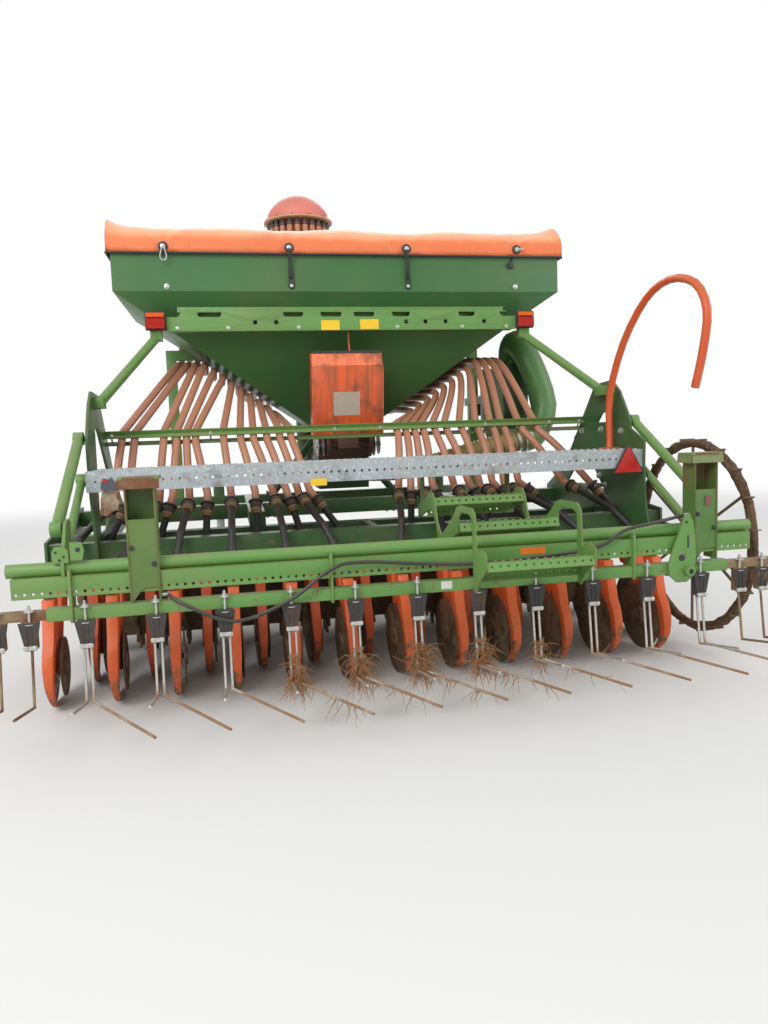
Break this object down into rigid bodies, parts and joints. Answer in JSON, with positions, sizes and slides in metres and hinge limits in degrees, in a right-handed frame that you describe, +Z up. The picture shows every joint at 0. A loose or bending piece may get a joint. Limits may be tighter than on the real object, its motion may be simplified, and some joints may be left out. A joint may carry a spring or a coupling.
{
  "type": "seed drill",
  "caption": "Pneumatic seed drill with hopper and cover, distributor head, seed hoses, disc coulters, packer roller, tine harrow, loading board, steps and spur wheel.",
  "frame": {"origin": "on the floor, at the middle of the machine's length and width", "axes": "+X to the right seen from behind, +Y forward in the direction of travel, +Z up"},
  "size_m": [3.2, 3.1991, 2.745],
  "materials": {
    "green_paint": "painted, muddy",
    "light_green_paint": "painted, dusty",
    "hopper_green": "painted sheet, satin",
    "dark_green_paint": "painted, satin",
    "orange_paint": "painted, worn",
    "tarp_fabric": "coated tarpaulin",
    "lamp_plastic": "ribbed lens",
    "metering_metal": "dusty",
    "faded_plastic": "sun-bleached",
    "seed_hose": "translucent brown hose",
    "black_rubber": "matt",
    "air_hose_plastic": "corrugated hose",
    "galvanised": "hot-dip galvanised",
    "soiled_steel": "earth and rust",
    "weathered_steel": "weathered, rusty",
    "tine_steel": "worn spring steel",
    "disc_steel": "worn bright at the rim"
  },
  "bodies": {
    "drill": {"main_frame": "green_paint", "headstock": "green_paint", "scrapers": "green_paint", "hopper_frame": "light_green_paint", "hopper": "hopper_green", "tarp": "tarp_fabric", "tail_lamps": "lamp_plastic", "calibration_tray": "orange_paint", "metering_unit": "metering_metal", "riser_pipe": "dark_green_paint", "distributor_head": "faded_plastic", "seed_hoses": "seed_hose", "seed_tubes": "black_rubber", "hose_rails": "light_green_paint", "fan_housing": "dark_green_paint", "fan_duct": "green_paint", "air_hose": "air_hose_plastic", "gearbox": "dark_green_paint", "loading_board": "galvanised", "ladder": "light_green_paint", "handrail": "orange_paint", "coulters_front": "orange_paint", "coulters_rear": "orange_paint"},
    "roller": {"packer_roller": "soiled_steel"},
    "leg_left": {"leg_left": "galvanised"},
    "leg_right": {"leg_right": "galvanised"},
    "impeller": {"fan_impeller": "galvanised"},
    "upper_links": {"harrow_upper_links": "light_green_paint"},
    "lower_links": {"harrow_lower_links": "light_green_paint"},
    "harrow": {"harrow_frame": "light_green_paint", "harrow_tines": "tine_steel", "hydraulic_lines": "black_rubber"},
    "extension_left": {"extension_left": "weathered_steel"},
    "extension_right": {"extension_right": "weathered_steel"},
    "spur_arm": {"spur_arm": "green_paint"},
    "spur_wheel": {"spur_wheel": "soiled_steel"},
    "disc_01": {"disc_01": "disc_steel"},
    "disc_02": {"disc_02": "disc_steel"},
    "disc_03": {"disc_03": "disc_steel"},
    "disc_04": {"disc_04": "disc_steel"},
    "disc_05": {"disc_05": "disc_steel"},
    "disc_06": {"disc_06": "disc_steel"},
    "disc_07": {"disc_07": "disc_steel"},
    "disc_08": {"disc_08": "disc_steel"},
    "disc_09": {"disc_09": "disc_steel"},
    "disc_10": {"disc_10": "disc_steel"},
    "disc_11": {"disc_11": "disc_steel"},
    "disc_12": {"disc_12": "disc_steel"},
    "disc_13": {"disc_13": "disc_steel"},
    "disc_14": {"disc_14": "disc_steel"},
    "disc_15": {"disc_15": "disc_steel"},
    "disc_16": {"disc_16": "disc_steel"},
    "disc_17": {"disc_17": "disc_steel"},
    "disc_18": {"disc_18": "disc_steel"},
    "disc_19": {"disc_19": "disc_steel"},
    "disc_20": {"disc_20": "disc_steel"},
    "disc_21": {"disc_21": "disc_steel"},
    "disc_22": {"disc_22": "disc_steel"},
    "disc_23": {"disc_23": "disc_steel"},
    "disc_24": {"disc_24": "disc_steel"}
  },
  "joints": [
    {"name": "roller_turn", "type": "hinge", "parent": "drill", "child": "roller", "pos_m": [0, 0.18609, 0.28818], "axis": [1, 0, 0], "continuous": true},
    {"name": "leg_left_slide", "type": "slide", "parent": "drill", "child": "leg_left", "axis": [0, 0, 1], "range_m": [0, 0.3]},
    {"name": "leg_right_slide", "type": "slide", "parent": "drill", "child": "leg_right", "axis": [0, 0, 1], "range_m": [0, 0.3]},
    {"name": "fan_turn", "type": "hinge", "parent": "drill", "child": "impeller", "pos_m": [1.14, 0.80609, 1.25], "axis": [1, 0, 0], "continuous": true},
    {"name": "harrow_lift", "type": "hinge", "parent": "drill", "child": "lower_links", "pos_m": [0, -0.57391, 0.95], "axis": [-1, 0, 0], "range_deg": [-8, 7]},
    {"name": "harrow_upper", "type": "hinge", "parent": "drill", "child": "upper_links", "pos_m": [0, -0.57391, 1.13], "axis": [-1, 0, 0], "range_deg": [-8, 7]},
    {"name": "harrow_level", "type": "hinge", "parent": "lower_links", "child": "harrow", "pos_m": [0, -1.13391, 0.62], "axis": [-1, 0, 0], "range_deg": [-7, 8]},
    {"name": "extension_left_slide", "type": "slide", "parent": "harrow", "child": "extension_left", "axis": [-1, 0, 0], "range_m": [0, 0.12]},
    {"name": "extension_right_slide", "type": "slide", "parent": "harrow", "child": "extension_right", "axis": [1, 0, 0], "range_m": [0, 0.12]},
    {"name": "spur_arm_lift", "type": "hinge", "parent": "drill", "child": "spur_arm", "pos_m": [1.5, -0.06391, 0.62], "axis": [-1, 0, 0], "range_deg": [-4, 40]},
    {"name": "spur_wheel_turn", "type": "hinge", "parent": "spur_arm", "child": "spur_wheel", "pos_m": [1.545, -0.71391, 0.56], "axis": [1, 0, 0], "continuous": true},
    {"name": "disc_01_turn", "type": "hinge", "parent": "drill", "child": "disc_01", "pos_m": [-1.4375, -0.66391, 0.162], "axis": [0.9986, 0.0523, 0], "continuous": true},
    {"name": "disc_02_turn", "type": "hinge", "parent": "drill", "child": "disc_02", "pos_m": [-1.3125, -0.36391, 0.162], "axis": [0.9986, 0.0523, 0], "continuous": true},
    {"name": "disc_03_turn", "type": "hinge", "parent": "drill", "child": "disc_03", "pos_m": [-1.1875, -0.66391, 0.162], "axis": [0.9986, 0.0523, 0], "continuous": true},
    {"name": "disc_04_turn", "type": "hinge", "parent": "drill", "child": "disc_04", "pos_m": [-1.0625, -0.36391, 0.162], "axis": [0.9986, 0.0523, 0], "continuous": true},
    {"name": "disc_05_turn", "type": "hinge", "parent": "drill", "child": "disc_05", "pos_m": [-0.9375, -0.66391, 0.162], "axis": [0.9986, 0.0523, 0], "continuous": true},
    {"name": "disc_06_turn", "type": "hinge", "parent": "drill", "child": "disc_06", "pos_m": [-0.8125, -0.36391, 0.162], "axis": [0.9986, 0.0523, 0], "continuous": true},
    {"name": "disc_07_turn", "type": "hinge", "parent": "drill", "child": "disc_07", "pos_m": [-0.6875, -0.66391, 0.162], "axis": [0.9986, 0.0523, 0], "continuous": true},
    {"name": "disc_08_turn", "type": "hinge", "parent": "drill", "child": "disc_08", "pos_m": [-0.5625, -0.36391, 0.162], "axis": [0.9986, 0.0523, 0], "continuous": true},
    {"name": "disc_09_turn", "type": "hinge", "parent": "drill", "child": "disc_09", "pos_m": [-0.4375, -0.66391, 0.162], "axis": [0.9986, 0.0523, 0], "continuous": true},
    {"name": "disc_10_turn", "type": "hinge", "parent": "drill", "child": "disc_10", "pos_m": [-0.3125, -0.36391, 0.162], "axis": [0.9986, 0.0523, 0], "continuous": true},
    {"name": "disc_11_turn", "type": "hinge", "parent": "drill", "child": "disc_11", "pos_m": [-0.1875, -0.66391, 0.162], "axis": [0.9986, 0.0523, 0], "continuous": true},
    {"name": "disc_12_turn", "type": "hinge", "parent": "drill", "child": "disc_12", "pos_m": [-0.0625, -0.36391, 0.162], "axis": [0.9986, 0.0523, 0], "continuous": true},
    {"name": "disc_13_turn", "type": "hinge", "parent": "drill", "child": "disc_13", "pos_m": [0.0625, -0.66391, 0.162], "axis": [0.9986, 0.0523, 0], "continuous": true},
    {"name": "disc_14_turn", "type": "hinge", "parent": "drill", "child": "disc_14", "pos_m": [0.1875, -0.36391, 0.162], "axis": [0.9986, 0.0523, 0], "continuous": true},
    {"name": "disc_15_turn", "type": "hinge", "parent": "drill", "child": "disc_15", "pos_m": [0.3125, -0.66391, 0.162], "axis": [0.9986, 0.0523, 0], "continuous": true},
    {"name": "disc_16_turn", "type": "hinge", "parent": "drill", "child": "disc_16", "pos_m": [0.4375, -0.36391, 0.162], "axis": [0.9986, 0.0523, 0], "continuous": true},
    {"name": "disc_17_turn", "type": "hinge", "parent": "drill", "child": "disc_17", "pos_m": [0.5625, -0.66391, 0.162], "axis": [0.9986, 0.0523, 0], "continuous": true},
    {"name": "disc_18_turn", "type": "hinge", "parent": "drill", "child": "disc_18", "pos_m": [0.6875, -0.36391, 0.162], "axis": [0.9986, 0.0523, 0], "continuous": true},
    {"name": "disc_19_turn", "type": "hinge", "parent": "drill", "child": "disc_19", "pos_m": [0.8125, -0.66391, 0.162], "axis": [0.9986, 0.0523, 0], "continuous": true},
    {"name": "disc_20_turn", "type": "hinge", "parent": "drill", "child": "disc_20", "pos_m": [0.9375, -0.36391, 0.162], "axis": [0.9986, 0.0523, 0], "continuous": true},
    {"name": "disc_21_turn", "type": "hinge", "parent": "drill", "child": "disc_21", "pos_m": [1.0625, -0.66391, 0.162], "axis": [0.9986, 0.0523, 0], "continuous": true},
    {"name": "disc_22_turn", "type": "hinge", "parent": "drill", "child": "disc_22", "pos_m": [1.1875, -0.36391, 0.162], "axis": [0.9986, 0.0523, 0], "continuous": true},
    {"name": "disc_23_turn", "type": "hinge", "parent": "drill", "child": "disc_23", "pos_m": [1.3125, -0.66391, 0.162], "axis": [0.9986, 0.0523, 0], "continuous": true},
    {"name": "disc_24_turn", "type": "hinge", "parent": "drill", "child": "disc_24", "pos_m": [1.4375, -0.36391, 0.162], "axis": [0.9986, 0.0523, 0], "continuous": true}
  ],
  "couplings": [
    {"joint": "harrow_upper", "follows": "harrow_lift", "ratio": 1},
    {"joint": "harrow_level", "follows": "harrow_lift", "ratio": -1}
  ]
}
